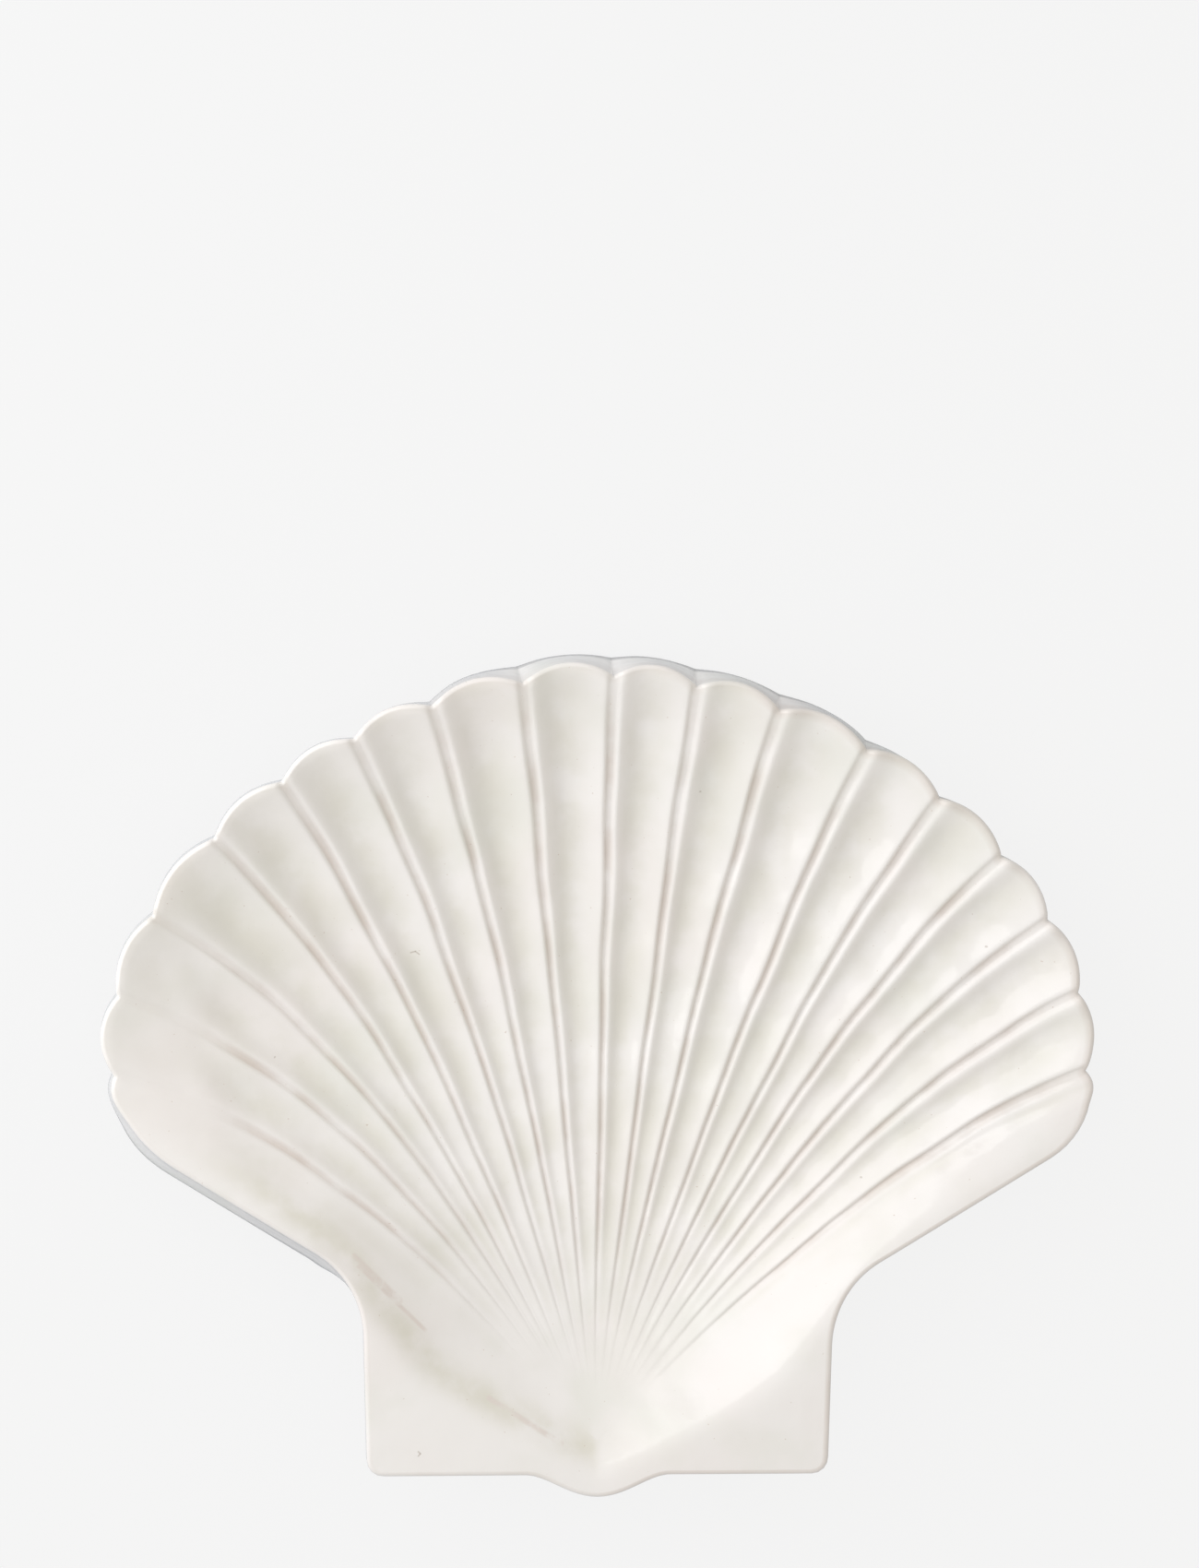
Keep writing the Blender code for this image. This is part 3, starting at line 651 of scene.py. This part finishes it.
def times(first, second):
    """The product of a value and another value or a number."""
    product = nodes.new("ShaderNodeMath")
    product.operation = "MULTIPLY"
    links.new(first, product.inputs[0])
    if isinstance(second, float):
        product.inputs[1].default_value = second
    else:
        links.new(second, product.inputs[1])
    return product.outputs[0]


def tinted(colour, tint, share):
    """A colour mixed towards a tint by a share."""
    mix = nodes.new("ShaderNodeMix")
    mix.data_type = "RGBA"
    links.new(share, mix.inputs["Factor"])
    links.new(colour, mix.inputs["A"])
    mix.inputs["B"].default_value = tint
    return mix.outputs["Result"]


def vector(operation, first, second):
    """A vector operation on a value and a constant or another value."""
    node = nodes.new("ShaderNodeVectorMath")
    node.operation = operation
    links.new(first, node.inputs[0])
    if isinstance(second, tuple):
        node.inputs[1].default_value = second
    else:
        links.new(second, node.inputs[1])
    return node.outputs


def drawn(mark):
    """1 on a short straight mark of the plan and 0 beyond its half width, by a smooth step of the
    distance to the nearest point of the mark: how far along it a place lies, held to its length."""
    x, y, to_x, to_y, half_width = mark
    run = np.array([to_x - x, to_y - y])
    length = float(np.hypot(*run))
    way = (run[0] / length, run[1] / length, 0.0)
    flat = vector("MULTIPLY", place, (1.0, 1.0, 0.0))["Vector"]
    arm = vector("SUBTRACT", flat, (x - middle[0], y - middle[1], 0.0))["Vector"]
    reach = nodes.new("ShaderNodeClamp")
    reach.inputs["Max"].default_value = length
    links.new(vector("DOT_PRODUCT", arm, way)["Value"], reach.inputs["Value"])
    nearest = nodes.new("ShaderNodeVectorMath")
    nearest.operation = "SCALE"
    nearest.inputs[0].default_value = way
    links.new(reach.outputs["Result"], nearest.inputs["Scale"])
    away = vector("DISTANCE", arm, nearest.outputs["Vector"])["Value"]
    return stretch(away, MARK_CORE * half_width, half_width, 1.0, 0.0)


white = nodes.new("ShaderNodeRGB")
white.outputs[0].default_value = WHITE
colour = white.outputs[0]
for tint, mask, patches, strength in COATS:
    share = noise(*patches)
    if mask:
        share = times(mask_of(mask), share)
    colour = tinted(colour, tint, times(share, strength))
# Painted shade and reflection streaks on the steep wall under the left ear.
for mark in SHADE_STREAKS:
    share = times(drawn(mark), noise(*SHADE_STREAK_PATCHES))
    colour = tinted(colour, SHADE_STREAK, times(share, SHADE_STREAK_STRENGTH))
for mark in SPECKS:
    colour = tinted(colour, SPECK, times(drawn(mark), SPECK_STRENGTH))
colour = tinted(colour, BARE, mask_of("land"))
links.new(colour, shader.inputs["Base Color"])

gloss = stretch(noise(*GLOSS_PATCHES), 0.0, 1.0, GLOSSIEST, DULLEST)
dull = nodes.new("ShaderNodeMath")
dull.operation = "MULTIPLY_ADD"
links.new(mask_of("land"), dull.inputs[0])
dull.inputs[1].default_value = BARE_ROUGHER
links.new(gloss, dull.inputs[2])
links.new(dull.outputs[0], shader.inputs["Roughness"])

ripple = nodes.new("ShaderNodeBump")
ripple.inputs["Strength"].default_value = RIPPLE_STRENGTH
ripple.inputs["Distance"].default_value = RIPPLE_HEIGHT
links.new(noise(*RIPPLE_PATCHES), ripple.inputs["Height"])
links.new(ripple.outputs["Normal"], shader.inputs["Normal"])

dish_mesh.materials.append(glaze)
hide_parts("shell_platter")
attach(dish, "root")


# The floor: a plain pale sheet of paper under the dish, lying flat on a table. It shows almost
# white and keeps a soft shadow of the dish, while what it reflects on to the dish is duller.
FLOOR_HALF = 3.0
FLOOR_DROP = 0.0002
FLOOR_PAPER = (0.64, 0.67, 0.71, 1.0)
FLOOR_SHOWN = (0.944, 0.941, 0.937, 1.0)
FLOOR_SHOWN_SHARE = 0.90
floor_mesh = bpy.data.meshes.new("floor")
floor_corners = [(-FLOOR_HALF, -FLOOR_HALF, 0), (FLOOR_HALF, -FLOOR_HALF, 0),
                 (FLOOR_HALF, FLOOR_HALF, 0), (-FLOOR_HALF, FLOOR_HALF, 0)]
floor_mesh.from_pydata(floor_corners, [], [(0, 1, 2, 3)])
floor = bpy.data.objects.new("floor", floor_mesh)
floor.location.z = -FLOOR_DROP
bpy.context.scene.collection.objects.link(floor)
paper = bpy.data.materials.new("floor_paper")
paper.use_nodes = True
paper_nodes, paper_links = paper.node_tree.nodes, paper.node_tree.links
diffuse = paper_nodes["Principled BSDF"]
diffuse.inputs["Base Color"].default_value = FLOOR_PAPER
diffuse.inputs["Roughness"].default_value = 1.0
shown = paper_nodes.new("ShaderNodeEmission")
shown.inputs["Color"].default_value = FLOOR_SHOWN
path = paper_nodes.new("ShaderNodeLightPath")
seen = paper_nodes.new("ShaderNodeMath")
seen.operation = "MULTIPLY"
seen.inputs[1].default_value = FLOOR_SHOWN_SHARE
blend = paper_nodes.new("ShaderNodeMixShader")
paper_links.new(path.outputs["Is Camera Ray"], seen.inputs[0])
paper_links.new(seen.outputs[0], blend.inputs[0])
paper_links.new(diffuse.outputs[0], blend.inputs[1])
paper_links.new(shown.outputs[0], blend.inputs[2])
paper_links.new(blend.outputs[0], paper_nodes["Material Output"].inputs["Surface"])
floor_mesh.materials.append(paper)


# The light: one large softbox of white cloth, hung up on the left like a window, in a pale room
# that is dimmer and warmer on the right.
WINDOW_AT = (-0.541, 0.3, 0.329)
WINDOW_SIZE = 0.7
WINDOW_POWER = 2.45
ROOM_STRENGTH = 0.862
ROOM_LIGHT = (1.0, 1.0, 1.0, 1.0)
ROOM_DIM = (0.77, 0.745, 0.69, 1.0)
ROOM_DIM_SIDE = (0.94, -0.20, 0.27)
ROOM_DIM_FROM = -0.2
ROOM_DIM_TO = 0.9
window_light = bpy.data.lights.new("window", "AREA")
window_light.size = WINDOW_SIZE
window_light.energy = WINDOW_POWER
window = bpy.data.objects.new("window", window_light)
window.location = WINDOW_AT
window.rotation_euler = (Vector((0, 0, 0)) - Vector(WINDOW_AT)).to_track_quat("-Z", "Y").to_euler()
bpy.context.scene.collection.objects.link(window)

world = bpy.data.worlds.new("room")
world.use_nodes = True
room_nodes, room_links = world.node_tree.nodes, world.node_tree.links
room = room_nodes["Background"]
room.inputs["Strength"].default_value = ROOM_STRENGTH
facing = room_nodes.new("ShaderNodeVectorMath")
facing.operation = "DOT_PRODUCT"
facing.inputs[1].default_value = ROOM_DIM_SIDE
room_links.new(room_nodes.new("ShaderNodeTexCoord").outputs["Generated"], facing.inputs[0])
dimness = room_nodes.new("ShaderNodeMapRange")
dimness.interpolation_type = "SMOOTHSTEP"
dimness.inputs["From Min"].default_value = ROOM_DIM_FROM
dimness.inputs["From Max"].default_value = ROOM_DIM_TO
room_links.new(facing.outputs["Value"], dimness.inputs["Value"])
walls = room_nodes.new("ShaderNodeMix")
walls.data_type = "RGBA"
walls.inputs["A"].default_value = ROOM_LIGHT
walls.inputs["B"].default_value = ROOM_DIM
room_links.new(dimness.outputs["Result"], walls.inputs["Factor"])
room_links.new(walls.outputs["Result"], room.inputs["Color"])
bpy.context.scene.world = world


# The camera: almost straight above, a little from the upper left, with a long lens. Its frame is
# level with the ears, and it is aimed so that the rib centre falls where it does in the photograph.
PHOTO_SCALE = 0.00028
PHOTO_WIDE = 1300
PHOTO_TALL = 1700
PHOTO_RIB_CENTRE = (648.5, 1600.0)
CAMERA_TILT = 6.0
CAMERA_SIDE = (-0.60, 0.80)
CAMERA_AWAY = 1.9
CAMERA_SEES_TO = 20.0
SENSOR = 36.0

tilt = np.radians(CAMERA_TILT)
side = np.array(CAMERA_SIDE) / np.hypot(*CAMERA_SIDE)
back = Vector((side[0] * np.sin(tilt), side[1] * np.sin(tilt), np.cos(tilt))).normalized()
right = (Vector((1, 0, 0)) - back * back.x).normalized()
up = back.cross(right)
rib_centre = Vector((-middle[0], -middle[1], RIM_HEIGHT))
to_right = PHOTO_WIDE / 2 - PHOTO_RIB_CENTRE[0]
to_top = PHOTO_RIB_CENTRE[1] - PHOTO_TALL / 2
aim = rib_centre + right * to_right * PHOTO_SCALE + up * to_top * PHOTO_SCALE
lens = bpy.data.cameras.new("camera")
lens.sensor_width = SENSOR
lens.lens = SENSOR * CAMERA_AWAY / (PHOTO_TALL * PHOTO_SCALE)
lens.clip_end = CAMERA_SEES_TO
camera = bpy.data.objects.new("camera", lens)
turned = Matrix((right, up, back)).transposed().to_4x4()
camera.matrix_world = Matrix.Translation(aim + back * CAMERA_AWAY) @ turned
bpy.context.scene.collection.objects.link(camera)
bpy.context.scene.camera = camera

bpy.context.scene.view_settings.view_transform = "Standard"
